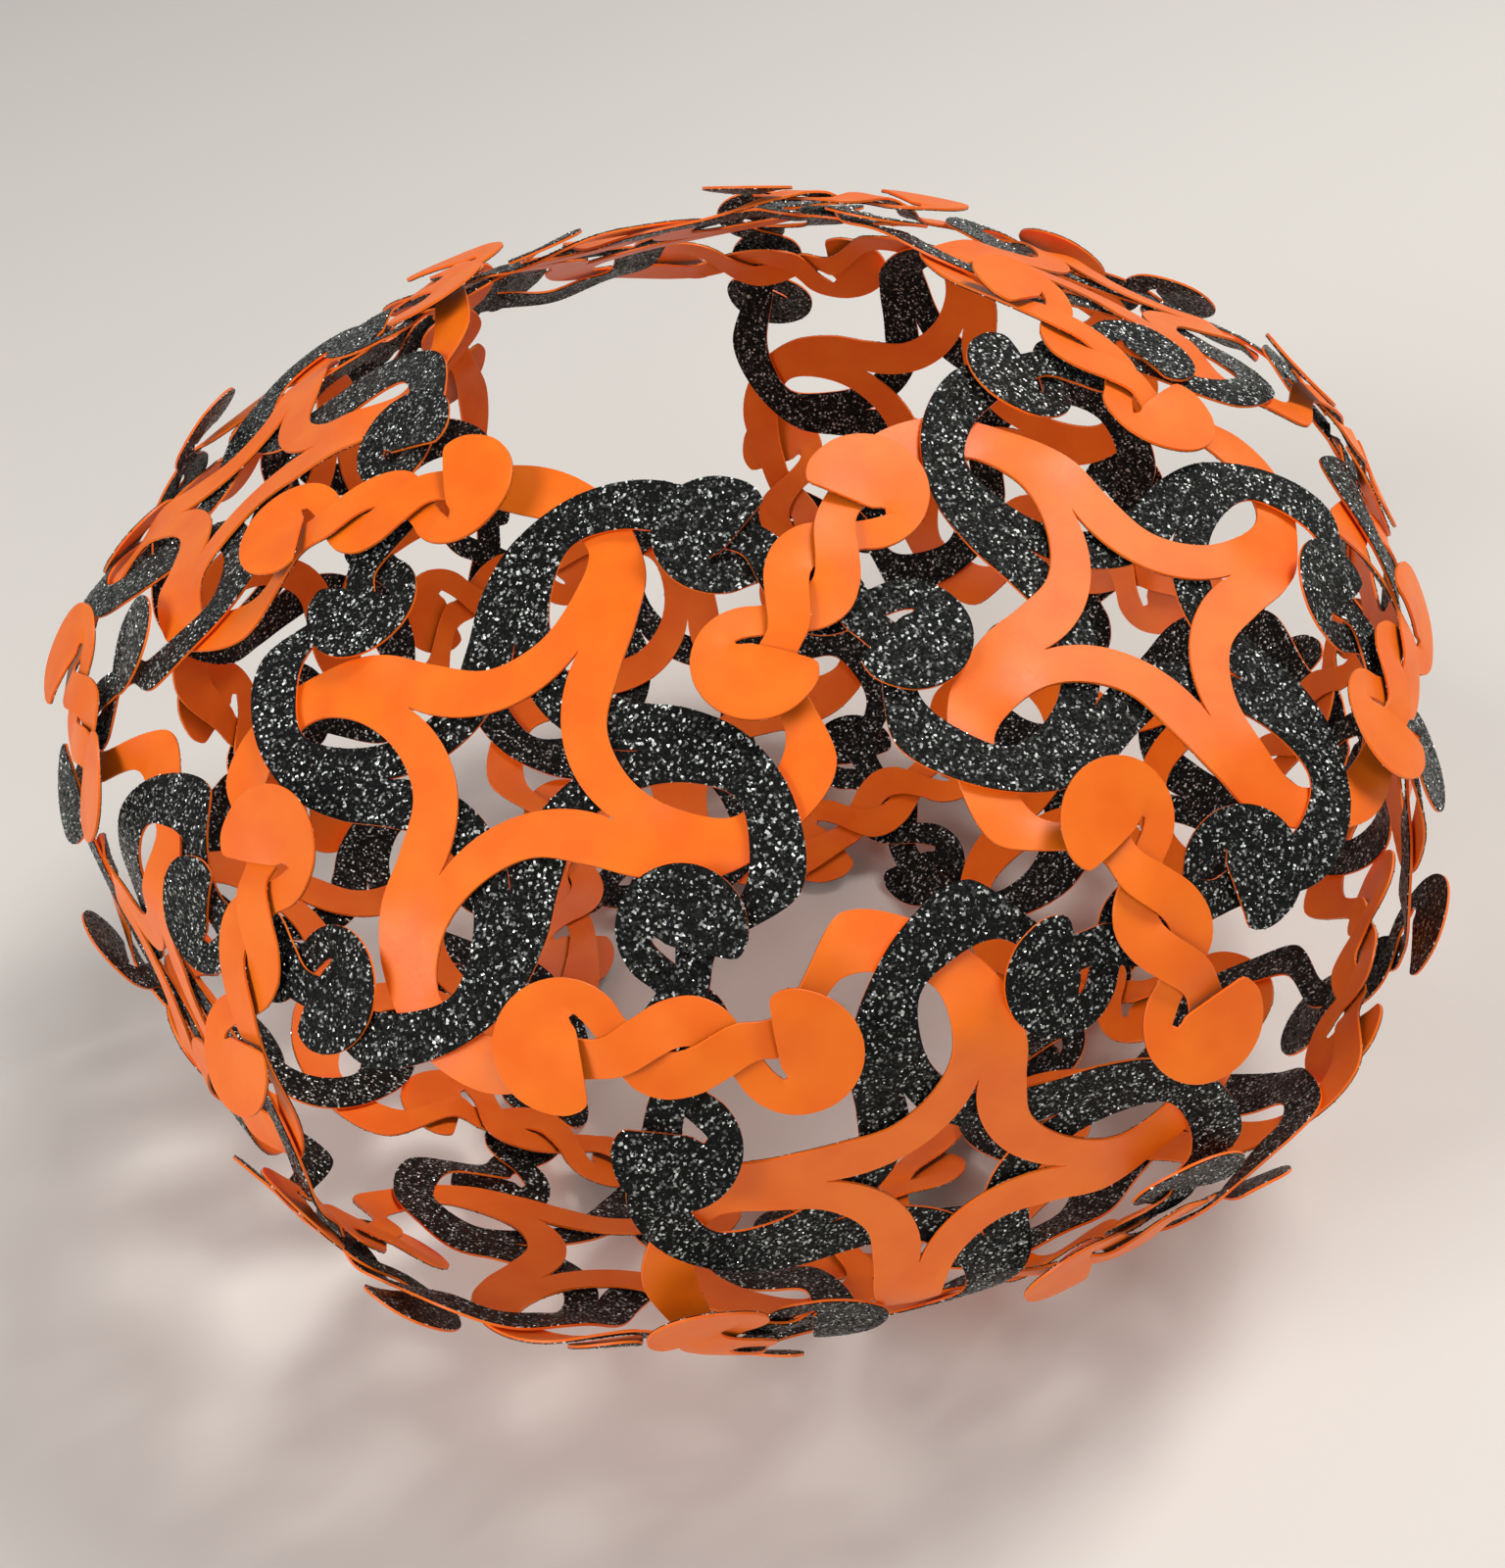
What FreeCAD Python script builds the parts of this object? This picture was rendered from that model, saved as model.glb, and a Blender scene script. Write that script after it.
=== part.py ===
import FreeCAD, Part
import os
from math import acos, asin, atan2, cos, degrees, radians, sin, sqrt, tan

# Kusudama ball of thirty cut card pieces.
# Fifteen modules sit on the squares of an elongated pentagonal orthobicupola:
# five in a top ring, five round the middle and five in a bottom ring.
# A module is one orange piece interlaced with one black piece, its mirror image.
# Each piece is a four-pointed open star with four arms, and every arm ends in a
# slit head that hooks into the head of the next module's piece.
# The origin is the centre of the ball and +Z passes through the top opening.

SIZES = [
    ("corner_reach", 37.5, "module centre to the corner where two modules meet"),
    ("bend_half_length", 15.8, "card bent on each side of a corner"),
    ("card_thickness", 0.45, "thickness of the card"),
    ("layer_clearance", 0.36, "air between two layers of card"),
    ("pair_clearance", 0.19, "more air between the orange and the black hooks"),
    ("bend_past", 4.8, "card past a corner that still follows the bend, then flat"),
    ("head_lift", 0.9, "how far the far rim of a head stands proud"),
    ("tip_turn", 61.5, "angle from a star tip to its own hook, degrees"),
    ("notch_reach", 14.0, "centre to the point of a star opening"),
    ("waist_reach", 6.1, "centre to the middle of an opening's side"),
    ("ring_width", 5.2, "width of a side of the star"),
    ("valley_fill", 0.6, "fillet in the corner between two arms"),
    ("valley_turn", 29.0, "angle from a star tip to the end of that fillet, degrees"),
    ("root_reach", 22.5, "centre to the root of an arm"),
    ("root_turn", 4.0, "angle from a star tip to that root, degrees"),
    ("root_heading", 25.0, "direction of the arm there, degrees"),
    ("root_width", 6.7, "width of the arm there"),
    ("crossing_reach", 26.15, "centre to where an arm meets the other colour"),
    ("crossing_turn", 8.0, "angle from a star tip to that crossing, degrees"),
    ("crossing_heading", 55.0, "direction of the arm there, degrees"),
    ("crossing_width", 5.9, "width of the arm there"),
    ("arm_reach", 31.2, "centre to the middle of an arm"),
    ("arm_turn", 27.0, "angle from a star tip to that middle, degrees"),
    ("arm_heading", 104.0, "direction of the arm there, degrees"),
    ("band_width", 5.6, "width of an arm from there on"),
    ("head_reach", 11.7, "middle of a hook to the centre of a head"),
    ("head_radius", 6.9, "radius of a head"),
    ("slit_depth", 3.0, "depth of the slit past the line of the heads"),
    ("slit_offset", 1.0, "slit end short of the centre of the head"),
    ("slit_open", 2.4, "opening of the slit between the head and the arm"),
    ("neck_side", 0.6, "waist of an arm on the side of the slit end"),
    ("neck_width", 4.4, "width of an arm where it passes up through a slit"),
    ("neck_slant", 1.2, "far edge of that waist ahead of the near edge"),
    ("step_run", 2.9, "length in which an arm changes its layer there"),
    ("step_width", 3.8, "width of an arm after that step"),
    ("step_slant", 2.5, "far edge after the step ahead of the near edge"),
    ("elbow_back", 1.6, "start of an arm's turn before the middle of the hook"),
    ("elbow_ahead", 2.2, "end of that turn past the middle of the hook"),
    ("elbow_side", 0.2, "inside of that turn beside the line of the heads"),
]

HOOK_TURN = 45.0
LINK_ANGLES = (45.0, 135.0, 225.0, 315.0)
FIFTH = 72.0

# Directions of a head's rim points from its centre, in degrees.
RIM_TURNS = {"rim_0": 205.0, "rim_1": 265.0, "rim_2": 335.0, "rim_3": 45.0, "lobe": 115.0}

# Layers of each colour, in steps of one card and its air; hand 1 is orange.
LAYERS = {
    1: {"star": 0.5, "crossing": -1.7, "arm": -1.7, "hook": 0.5},
    -1: {"star": -0.5, "crossing": -0.5, "arm": -0.93, "hook": -1.5},
}


def make_sheet(doc):
    """Put the driving sizes in a sheet, one aliased cell each."""
    sheet = doc.addObject("Spreadsheet::Sheet", "Sizes")
    for row, (name, value, note) in enumerate(SIZES, start=1):
        sheet.set("A%d" % row, note)
        sheet.set("B%d" % row, str(value))
        sheet.setAlias("B%d" % row, name)
    doc.recompute()
    return sheet


def polar(reach, angle):
    """Flat point at a reach and an angle in degrees."""
    return (reach * cos(radians(angle)), reach * sin(radians(angle)))


def turned(point, angle, hand):
    """Flat point mirrored for the black hand, then turned."""
    x, y = point[0], point[1] * hand
    c, s = cos(radians(angle)), sin(radians(angle))
    return (c * x - s * y, s * x + c * y)


def across(reach, turn, heading, width):
    """Left and right edge of a band at one station of its centre line."""
    x, y = polar(reach, turn)
    dx, dy = polar(width / 2, heading + 90)
    return (x + dx, y + dy), (x - dx, y - dy)


class Skeleton:
    """Planes of the fifteen modules and the bends between them."""

    def __init__(self, sheet):
        self.size = sheet
        half = sheet.corner_reach / sqrt(2)
        lean = (1 / tan(radians(18)) - 1 / tan(radians(36))) / 2
        self.tilt = asin(lean)
        self.top_radius = half * (1 / tan(radians(36)) + lean)
        self.top_height = half * (1 + cos(self.tilt))
        self.middle_radius = half / tan(radians(18))

    def normal(self, level, azimuth):
        """Outward normal of a module's plane; level is 1, 0 or -1."""
        a = radians(azimuth)
        lift = self.tilt if level else 0.0
        flat = cos(lift)
        return FreeCAD.Vector(flat * cos(a), flat * sin(a), level * sin(lift))

    def neighbours(self, level):
        """Level and azimuth of the modules at the four corners, anticlockwise."""
        if level:
            return ((1, FIFTH), (1, -FIFTH), (0, -FIFTH / 2), (0, FIFTH / 2))
        return ((1, FIFTH / 2), (1, -FIFTH / 2), (-1, -FIFTH / 2), (-1, FIFTH / 2))

    def bend(self, level, corner):
        """Bend at one corner of a module: direction, tangent line, radius, half angle."""
        own = self.normal(level, 0)
        other = self.normal(*self.neighbours(level)[corner])
        east = FreeCAD.Vector(0, 1, 0)
        north = own.cross(east)
        fold = own.cross(other)
        angle = degrees(atan2(fold.dot(north), fold.dot(east))) - 90
        toward = LINK_ANGLES[corner]
        skew = (toward - angle + 90) % 180 - 90
        half_angle = acos(own.dot(other)) / 2
        radius = self.size.bend_half_length / half_angle
        along = self.size.corner_reach * cos(radians(skew))
        start = along - radius * tan(half_angle)
        return toward - skew, skew, start, radius, half_angle

    def partner(self, level, corner):
        """Level and corner by which the next module meets this corner."""
        if level:
            return ((1, 1), (1, 0), (0, 0), (0, 1))[corner]
        return ((1, 2), (1, 3), (1, 2), (1, 3))[corner]

    def hook_frame(self, level, corner, hand):
        """Flat centre and turn of the hook at one corner of a module."""
        angle, skew, start, radius, half_angle = self.bend(level, corner)
        other_skew = self.bend(*self.partner(level, corner))[1]
        x, y = polar(start + radius * half_angle, angle)
        dx, dy = polar(self.size.corner_reach * sin(radians(skew)), angle + 90)
        turn = angle + (skew + other_skew) / 2 + hand * HOOK_TURN
        return (x + dx, y + dy), turn

    def place(self, level, point, height, corner=None):
        """Bent position of a flat point at a height over the card's middle surface.

        With a corner only that corner's bend acts, as in the hooks."""
        own = self.normal(level, 0)
        east = FreeCAD.Vector(0, 1, 0)
        north = own.cross(east)
        if level:
            centre = FreeCAD.Vector(self.top_radius, 0, self.top_height)
        else:
            centre = FreeCAD.Vector(self.middle_radius, 0, 0)
        base = centre + east * point[0] + north * point[1]
        up = FreeCAD.Vector(own)
        for k in range(4) if corner is None else (corner,):
            angle, skew, start, radius, half_angle = self.bend(level, k)
            bx, by = polar(1, angle)
            past = point[0] * bx + point[1] * by - start
            if past <= 0:
                continue
            turn = min(past / radius, half_angle + self.size.bend_past / radius)
            rest = past - turn * radius
            forward = east * bx + north * by
            base += forward * (radius * sin(turn) + rest * cos(turn) - past)
            base -= own * (radius * (1 - cos(turn)) + rest * sin(turn))
            up += forward * sin(turn) - own * (1 - cos(turn))
        up.normalize()
        return base + up * height


def card_outline(size):
    """Edge points of a quarter of a piece, star part and hook part.

    Star points are in a frame with the star tip on its x axis, hook points in
    a frame with both heads on its x axis and the module on its +y side."""
    root = across(size.root_reach, size.root_turn, size.root_heading, size.root_width)
    crossing = across(size.crossing_reach, size.crossing_turn, size.crossing_heading,
                      size.crossing_width)
    arm = across(size.arm_reach, size.arm_turn, size.arm_heading, size.band_width)
    valley = size.waist_reach + size.ring_width + size.valley_fill
    star = {
        "notch": polar(size.notch_reach, 0),
        "waist": polar(size.waist_reach, HOOK_TURN),
        "valley_a": polar(valley, size.valley_turn),
        "valley_b": polar(valley, -size.valley_turn),
        "root_l": root[0], "root_r": root[1],
        "early_l": crossing[0], "early_r": crossing[1],
        "late_l": arm[0], "late_r": arm[1],
    }
    slit = size.head_reach - size.slit_offset
    neck = size.neck_side
    step = size.step_run - slit
    hook = {
        "under_l": (-slit, neck),
        "under_r": (-slit + size.neck_slant, neck - size.neck_width),
        "over_l": (step, neck),
        "over_r": (step + size.step_slant, neck - size.step_width),
        "elbow_a": (-size.elbow_back, size.elbow_side),
        "elbow_b": (size.elbow_ahead, size.elbow_side),
        "crest": (size.elbow_ahead, size.elbow_side + size.band_width),
        "throat": (slit - size.slit_open, size.slit_open - size.slit_depth),
        "slit": (slit, -size.slit_depth),
    }
    for name, turn in RIM_TURNS.items():
        x, y = polar(size.head_radius, turn)
        hook[name] = (size.head_reach + x, y)
    return star, hook


def layer_heights(size, hand):
    """Height of every edge point over the middle surface, for one colour."""
    step = size.card_thickness + size.layer_clearance
    layers = LAYERS[hand]
    low = layers["hook"] * step + hand * size.pair_clearance
    high = low + step
    groups = (
        (layers["star"] * step, "notch waist valley_a valley_b root_l root_r"),
        (layers["crossing"] * step, "early_l early_r"),
        (layers["arm"] * step, "late_l late_r"),
        (low, "under_l under_r elbow_b crest throat rim_0"),
        (high, "over_l over_r elbow_a slit rim_1"),
        (high + size.head_lift, "lobe rim_2 rim_3"),
    )
    return {name: height for height, names in groups for name in names.split()}


# Triangles of a quarter of a piece; a plus sign marks the next quarter's point.
FACETS = [
    ("notch", "valley_a", "waist"), ("valley_a", "valley_b+", "waist"),
    ("valley_b+", "notch+", "waist"), ("valley_b", "root_r", "notch"),
    ("notch", "root_r", "root_l"), ("notch", "root_l", "valley_a"),
    ("root_r", "early_r", "early_l"), ("root_r", "early_l", "root_l"),
    ("early_r", "late_r", "late_l"), ("early_r", "late_l", "early_l"),
    ("late_r", "under_r", "under_l"), ("late_r", "under_l", "late_l"),
    ("under_r", "over_r", "over_l"), ("under_r", "over_l", "under_l"),
    ("over_r", "elbow_a", "over_l"), ("over_l", "elbow_a", "crest"),
    ("elbow_a", "elbow_b", "crest"), ("elbow_b", "throat", "crest"),
    ("elbow_b", "rim_0", "throat"), ("rim_0", "slit", "throat"),
    ("rim_0", "rim_1", "slit"), ("rim_1", "rim_2", "slit"),
    ("rim_2", "rim_3", "slit"), ("rim_3", "lobe", "slit"),
]


def card_piece(skeleton, level, hand):
    """Solid of one bent card piece; hand is 1 for orange and -1 for black."""
    size = skeleton.size
    star, hook = card_outline(size)
    heights = layer_heights(size, hand)
    half = size.card_thickness / 2
    upper, lower = {}, {}
    for k, link in enumerate(LINK_ANGLES):
        tip = link - hand * size.tip_turn
        for name, point in star.items():
            flat = turned(point, tip, hand)
            key = (name, k)
            upper[key] = skeleton.place(level, flat, heights[name] + half)
            lower[key] = skeleton.place(level, flat, heights[name] - half)
        origin, turn = skeleton.hook_frame(level, k, hand)
        for name, point in hook.items():
            x, y = turned(point, turn, hand)
            flat = (origin[0] + x, origin[1] + y)
            key = (name, k)
            upper[key] = skeleton.place(level, flat, heights[name] + half, k)
            lower[key] = skeleton.place(level, flat, heights[name] - half, k)
    triangles = []
    for k in range(4):
        for facet in FACETS:
            keys = []
            for name in facet:
                forward = name.endswith("+")
                keys.append((name.rstrip("+"), (k + hand * forward) % 4))
            triangles.append(keys if hand > 0 else keys[::-1])
    edges = {}
    for a, b, c in triangles:
        for pair in ((a, b), (b, c), (c, a)):
            edges[pair] = True
    faces = []
    for a, b, c in triangles:
        faces.append((upper[a], upper[b], upper[c]))
        faces.append((lower[c], lower[b], lower[a]))
    for a, b in edges:
        if (b, a) not in edges:
            faces.append((lower[a], lower[b], upper[b]))
            faces.append((lower[a], upper[b], upper[a]))
    shell = Part.Shell([Part.Face(Part.makePolygon([p, q, r, p])) for p, q, r in faces])
    shell.sewShape()
    return Part.Solid(shell)


def main():
    doc = FreeCAD.newDocument("kusudama_ball")
    sheet = make_sheet(doc)
    skeleton = Skeleton(sheet)
    spots = []
    for i in range(5):
        turn = FreeCAD.Rotation(FreeCAD.Vector(0, 0, 1), i * FIFTH)
        half_turn = FreeCAD.Rotation(FreeCAD.Vector(0, 0, 1), (i + 0.5) * FIFTH)
        over = turn.multiply(FreeCAD.Rotation(FreeCAD.Vector(1, 0, 0), 180))
        spots.append(("top_%d" % (i + 1), 1, turn))
        spots.append(("middle_%d" % (i + 1), 0, half_turn))
        spots.append(("bottom_%d" % (i + 1), 1, over))
    masters = {}
    for level in (1, 0):
        for colour, hand in (("orange", 1), ("black", -1)):
            masters[level, colour] = card_piece(skeleton, level, hand)
    pieces = []
    for spot, level, rotation in spots:
        for colour in ("orange", "black"):
            piece = doc.addObject("Part::Feature", "%s_%s" % (spot, colour))
            piece.Label = "%s_%s" % (spot, colour)
            piece.Shape = masters[level, colour]
            piece.Placement = FreeCAD.Placement(FreeCAD.Vector(0, 0, 0), rotation)
            pieces.append(piece)
    doc.recompute()
    for item in doc.Objects:
        if "Invalid" in item.State or "Error" in item.State:
            raise RuntimeError("%s did not build" % item.Label)
    for piece in pieces:
        if piece.Shape.isNull() or not piece.Shape.isValid():
            raise RuntimeError("%s has no valid solid" % piece.Label)
    os.makedirs("parts", exist_ok=True)
    for piece in pieces:
        piece.Shape.exportStep("parts/%s.step" % piece.Label)
    volume = sum(piece.Shape.Volume for piece in pieces)
    print("pieces", len(pieces), "volume cm3", round(volume / 1000, 3))


main()
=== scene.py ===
from math import acos, asin, atan2, cos, degrees, radians, sin, sqrt, tan

import bpy
import numpy as np
from bpy.props import FloatProperty, FloatVectorProperty, IntProperty, PointerProperty
from mathutils import Euler, Matrix, Vector
from mathutils.geometry import delaunay_2d_cdt


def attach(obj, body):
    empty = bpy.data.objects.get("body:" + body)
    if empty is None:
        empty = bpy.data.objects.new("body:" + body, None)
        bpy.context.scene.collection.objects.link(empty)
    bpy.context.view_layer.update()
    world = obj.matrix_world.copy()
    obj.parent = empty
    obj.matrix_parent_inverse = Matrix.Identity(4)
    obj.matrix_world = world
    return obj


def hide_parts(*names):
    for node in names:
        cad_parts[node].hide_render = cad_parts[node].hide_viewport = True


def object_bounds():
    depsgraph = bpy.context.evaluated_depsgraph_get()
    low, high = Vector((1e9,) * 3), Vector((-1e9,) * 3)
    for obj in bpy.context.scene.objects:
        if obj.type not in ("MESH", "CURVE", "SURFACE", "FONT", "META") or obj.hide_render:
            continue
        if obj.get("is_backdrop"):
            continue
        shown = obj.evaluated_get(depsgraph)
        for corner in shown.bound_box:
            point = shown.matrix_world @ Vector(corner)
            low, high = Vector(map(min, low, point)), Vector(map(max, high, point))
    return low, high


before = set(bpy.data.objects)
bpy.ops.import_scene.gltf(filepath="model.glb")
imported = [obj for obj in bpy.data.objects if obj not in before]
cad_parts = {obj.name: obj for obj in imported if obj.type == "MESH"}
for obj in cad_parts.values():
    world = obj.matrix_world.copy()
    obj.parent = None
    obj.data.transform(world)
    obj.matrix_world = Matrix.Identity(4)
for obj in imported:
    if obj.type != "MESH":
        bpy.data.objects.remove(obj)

bl_info = {
    "name": "Kusudama paper ball",
    "version": (1, 0, 0),
    "blender": (4, 5, 0),
    "location": "View3D > Sidebar > Kusudama",
    "description": "Dresses a ball of thirty cut card stars, orange and black glitter",
    "category": "Object",
}

MM = 0.001

# Three rings of five modules, and the corners of a module where two of them meet.
# Angles are in degrees.
RINGS = ("top", "middle", "bottom")
RING_NUMBERS = range(1, 6)
FIFTH = 72.0
LINK_ANGLES = (45.0, 135.0, 225.0, 315.0)
HOOK_TURN = 45.0

# Hand of each colour: the black piece is cut as the mirror image of the orange one.
COLOURS = {"orange": 1, "black": -1}

# Layers of each colour, in steps of one card and its air.
LAYERS = {
    "orange": {"star": 0.5, "crossing": -1.7, "hook": 0.5},
    "black": {"star": -0.5, "crossing": -0.75, "hook": -1.5},
}

# Edge of one arm in millimetres, from the valley before it round its head and back.
# Star points have the tip of the star on +X. Hook points have both heads of the
# hook on X, their own at +X, and the module on the +Y side.
EDGE_OUT = (
    ("star", 7.95, -7.6, "star"),
    ("star", 13.7, -5.4, "star"),
    ("star", 19.6, -3.9, "star"),
    ("star", 25.6, -0.4, "crossing"),
    ("star", 30.3, 7.1, "crossing"),
    ("star", 30.6, 16.5, "crossing"),
    ("hook", -9.6, -3.5, "low"),
    ("hook", -5.4, -2.8, "high"),
    ("hook", -1.5, -0.5, "high"),
    ("hook", 0.0, 0.22, "middle"),
    ("hook", 1.6, 0.2, "low"),
    ("hook", 3.6, -0.9, "low"),
)
SLIT_EDGE = (
    ("hook", 9.05, 5.7, "lobe"),
    ("hook", 9.1, 4.2, "lobe"),
    ("hook", 9.7, 0.6, "rise"),
    ("hook", 10.25, -1.6, "high"),
    ("hook", 10.95, -2.7, "high"),
)
EDGE_BACK = (
    ("hook", 10.55, -3.15, "middle"),
    ("hook", 9.9, -2.7, "middle"),
    ("hook", 8.3, -0.9, "low"),
    ("hook", 6.4, 2.0, "low"),
    ("hook", 4.3, 4.3, "low"),
    ("hook", 1.4, 5.3, "low"),
    ("hook", -1.9, 4.6, "middle"),
    ("hook", -4.9, 2.7, "high"),
    ("hook", -7.8, 0.8, "high"),
    ("hook", -10.6, 0.6, "low"),
    ("star", 24.6, 16.2, "crossing"),
    ("star", 25.5, 10.9, "crossing"),
    ("star", 24.2, 6.2, "crossing"),
    ("star", 18.6, 4.0, "star"),
    ("star", 12.8, 4.5, "star"),
)

# Rim of a head: direction from its centre in degrees, and how much of the rise
# from the low to the high layer and of the lift past it has been made there.
RIM = (
    (207.0, 0.0, 0.0), (224.0, 0.25, 0.0), (241.0, 0.6, 0.0), (258.0, 0.95, 0.0),
    (276.0, 1.0, 0.2), (300.0, 1.0, 0.6), (324.0, 1.0, 0.95), (348.0, 1.0, 1.0),
    (372.0, 1.0, 1.0), (396.0, 1.0, 1.0), (420.0, 1.0, 1.0), (444.0, 1.0, 1.0),
    (459.0, 1.0, 1.0),
)

# Star opening: four quarter circles, each in steps and cut short by some degrees at
# both ends, where two of them meet in a point.
OPENING_STEPS = 24
OPENING_BLUNT = 3.6

# Mesh of a sheet: steps along its edges and over its face, the least gap between the
# two in steps, the rounds that spread the edges' heights over the face, and the power
# of its chords by which an edge's curve is timed.
EDGE_STEP = 0.7 * MM
INNER_STEP = 1.35 * MM
INNER_MARGIN = 0.55
RELAX_ROUNDS = 500
CHORD_POWER = 0.5
MERGE_DISTANCE = 1e-6
SHARP_ANGLE = radians(32)
ROUNDED_ANGLE = radians(60)

# Raised glitter grains: flat three-sided cones, their depth in widths, and the ranges
# of their lean and turn in radians and of their size.
GRAIN_SIDES = 3
GRAIN_RADIUS = 0.5
GRAIN_DEPTH = 0.24
GRAIN_LEAN = 0.32
GRAIN_TURN = 3.14
GRAIN_SCALES = (0.55, 1.25)
SEEDS_A_RING = 10

# Patterns: scales are in cells or waves per metre.
FULL_RANGE = (0.0, 1.0)
PATCH_RANGE = (0.35, 0.65)
FIBRE_RANGE = (0.3, 0.7)
ORANGE_SCALES = {"Patch scale": 160.0, "Fibre scale": 2600.0}
BLACK_SCALES = {"Patch scale": 500.0, "Fibre scale": 3000.0}
BLACK_CELLS = {"Scale": 3600.0, "Tilt": 0.75}
FOIL_CELLS = {"Scale": 2300.0, "Tilt": 0.0}

# Gloss of the card's two faces and of the foil grains, and how rare their bright
# flakes are: the chance at which they start, and the power with which they rise.
ORANGE_ROUGHNESS = (0.40, 0.50)
BLACK_ROUGHNESS = (0.22, 0.55)
FOIL_ROUGHNESS = (0.08, 0.22)
ORANGE_SPECULAR = 0.38
BLACK_SPECULAR = 0.08
BLACK_FLAKES = (0.7, 4.0)
FOIL_FLAKES = (0.0, 4.5)
FOIL_DARK = (0.03, 0.034, 0.032)

# Stage: air under the ball, share of the floor's colour in its deeper patches, and
# the photograph's height in pixels.
FLOOR_GAP = 0.05 * MM
FLOOR_DEEPER = 0.96
CLIP_START = 0.01
PHOTO_HEIGHT = 1600

# Lamps: name, place, width, watts, colour.
LAMPS = (
    ("key_lamp", (-0.35, 0.35, 0.75), 0.30, 5.6, (1.0, 0.97, 0.92)),
    ("fill_lamp", (0.75, -0.45, 0.55), 0.45, 6.0, (1.0, 0.98, 0.95)),
    ("front_lamp", (0.55, 0.65, 0.60), 0.45, 1.6, (1.0, 0.97, 0.93)),
)

# World: its strength as it lights, and as it is seen or mirrored.
WORLD_COLOUR = (0.92, 0.91, 0.90, 1)
WORLD_LIGHT = 0.15
WORLD_SEEN = 0.6


class CardSizes(bpy.types.PropertyGroup):
    """Sizes of the card pieces."""
    corner_reach: FloatProperty(
        name="Corner reach", default=37.5 * MM, unit="LENGTH",
        description="Module centre to the corner where two modules meet")
    bend_half_length: FloatProperty(
        name="Bend half length", description="Card bent on each side of a corner",
        default=15.8 * MM, unit="LENGTH")
    card_thickness: FloatProperty(
        name="Card thickness", description="Both plies of the card together",
        default=0.45 * MM, unit="LENGTH")
    glitter_ply: FloatProperty(
        name="Glitter ply", description="Thickness of the black glitter ply",
        default=0.13 * MM, unit="LENGTH")
    edge_round: FloatProperty(
        name="Edge rounding", description="Rounding that the cutter leaves on an edge",
        default=0.05 * MM, unit="LENGTH")
    layer_clearance: FloatProperty(
        name="Layer clearance", description="Air between two layers of card",
        default=0.36 * MM, unit="LENGTH")
    pair_clearance: FloatProperty(
        name="Pair clearance", description="More air between orange and black hooks",
        default=0.19 * MM, unit="LENGTH")
    head_lift: FloatProperty(
        name="Head lift", description="How far the far rim of a head stands proud",
        default=0.6 * MM, unit="LENGTH")
    bend_past: FloatProperty(
        name="Bend past", description="Card past a corner that still follows the bend",
        default=4.8 * MM, unit="LENGTH")
    tip_turn: FloatProperty(
        name="Tip turn", description="Angle from a star tip to its own hook",
        default=radians(61.5), subtype="ANGLE")
    opening_radius: FloatProperty(
        name="Opening radius", description="Radius of a side of the star opening",
        default=14.75 * MM, unit="LENGTH")
    head_reach: FloatProperty(
        name="Head reach", description="Middle of a hook to the centre of a head",
        default=11.7 * MM, unit="LENGTH")
    head_radius: FloatProperty(
        name="Head radius", description="Radius of a head",
        default=6.75 * MM, unit="LENGTH")


class CardFinish(bpy.types.PropertyGroup):
    """Colours of the card and grain of its glitter."""
    orange: FloatVectorProperty(
        name="Orange", description="Orange card", size=3, subtype="COLOR",
        default=(0.94, 0.150, 0.003), min=0, max=1)
    orange_pale: FloatVectorProperty(
        name="Pale orange", description="Paler patches of the orange card", size=3,
        subtype="COLOR", default=(0.99, 0.190, 0.006), min=0, max=1)
    black: FloatVectorProperty(
        name="Black", description="Ground of the glitter ply", size=3, subtype="COLOR",
        default=(0.005, 0.0058, 0.0055), min=0, max=1)
    flake: FloatVectorProperty(
        name="Flake", description="Bright flakes in the glitter", size=3, subtype="COLOR",
        default=(0.78, 0.82, 0.80), min=0, max=1)
    grain_density: FloatProperty(
        name="Grain density", default=2.2e6,
        description="Raised glitter grains per square metre, seen side")
    back_density: FloatProperty(
        name="Back density", default=0.6e6,
        description="Raised glitter grains per square metre, hidden side")
    grain_size: FloatProperty(
        name="Grain size", description="Width of a raised glitter grain",
        default=0.34 * MM, unit="LENGTH")
    seed: IntProperty(
        name="Seed", description="Start of the glitter's random draw", default=7)


class StageSizes(bpy.types.PropertyGroup):
    """Floor and camera."""
    floor_colour: FloatVectorProperty(
        name="Floor", description="Colour of the floor", size=3, subtype="COLOR",
        default=(0.80, 0.78, 0.75), min=0, max=1)
    floor_size: FloatProperty(
        name="Floor size", description="Side of the square floor", default=3.0,
        unit="LENGTH")
    camera_place: FloatVectorProperty(
        name="Camera place", description="Where the camera stands", size=3,
        subtype="TRANSLATION", default=(0.2234, 0.1077, 0.1976))
    look_elevation: FloatProperty(
        name="Look elevation", description="Rise of the camera's line of sight",
        default=radians(-40.07), subtype="ANGLE")
    look_azimuth: FloatProperty(
        name="Look azimuth", description="Heading of the camera's line of sight",
        default=radians(-153.99), subtype="ANGLE")
    camera_roll: FloatProperty(
        name="Camera roll", description="Lean of the camera about its line of sight",
        default=radians(-7.23), subtype="ANGLE")
    focal_pixels: FloatProperty(
        name="Focal length", description="Focal length in pixels of the photograph",
        default=2450.0)


def polar(reach, angle):
    """Flat point at a reach and an angle in degrees."""
    return reach * cos(radians(angle)), reach * sin(radians(angle))


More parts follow.
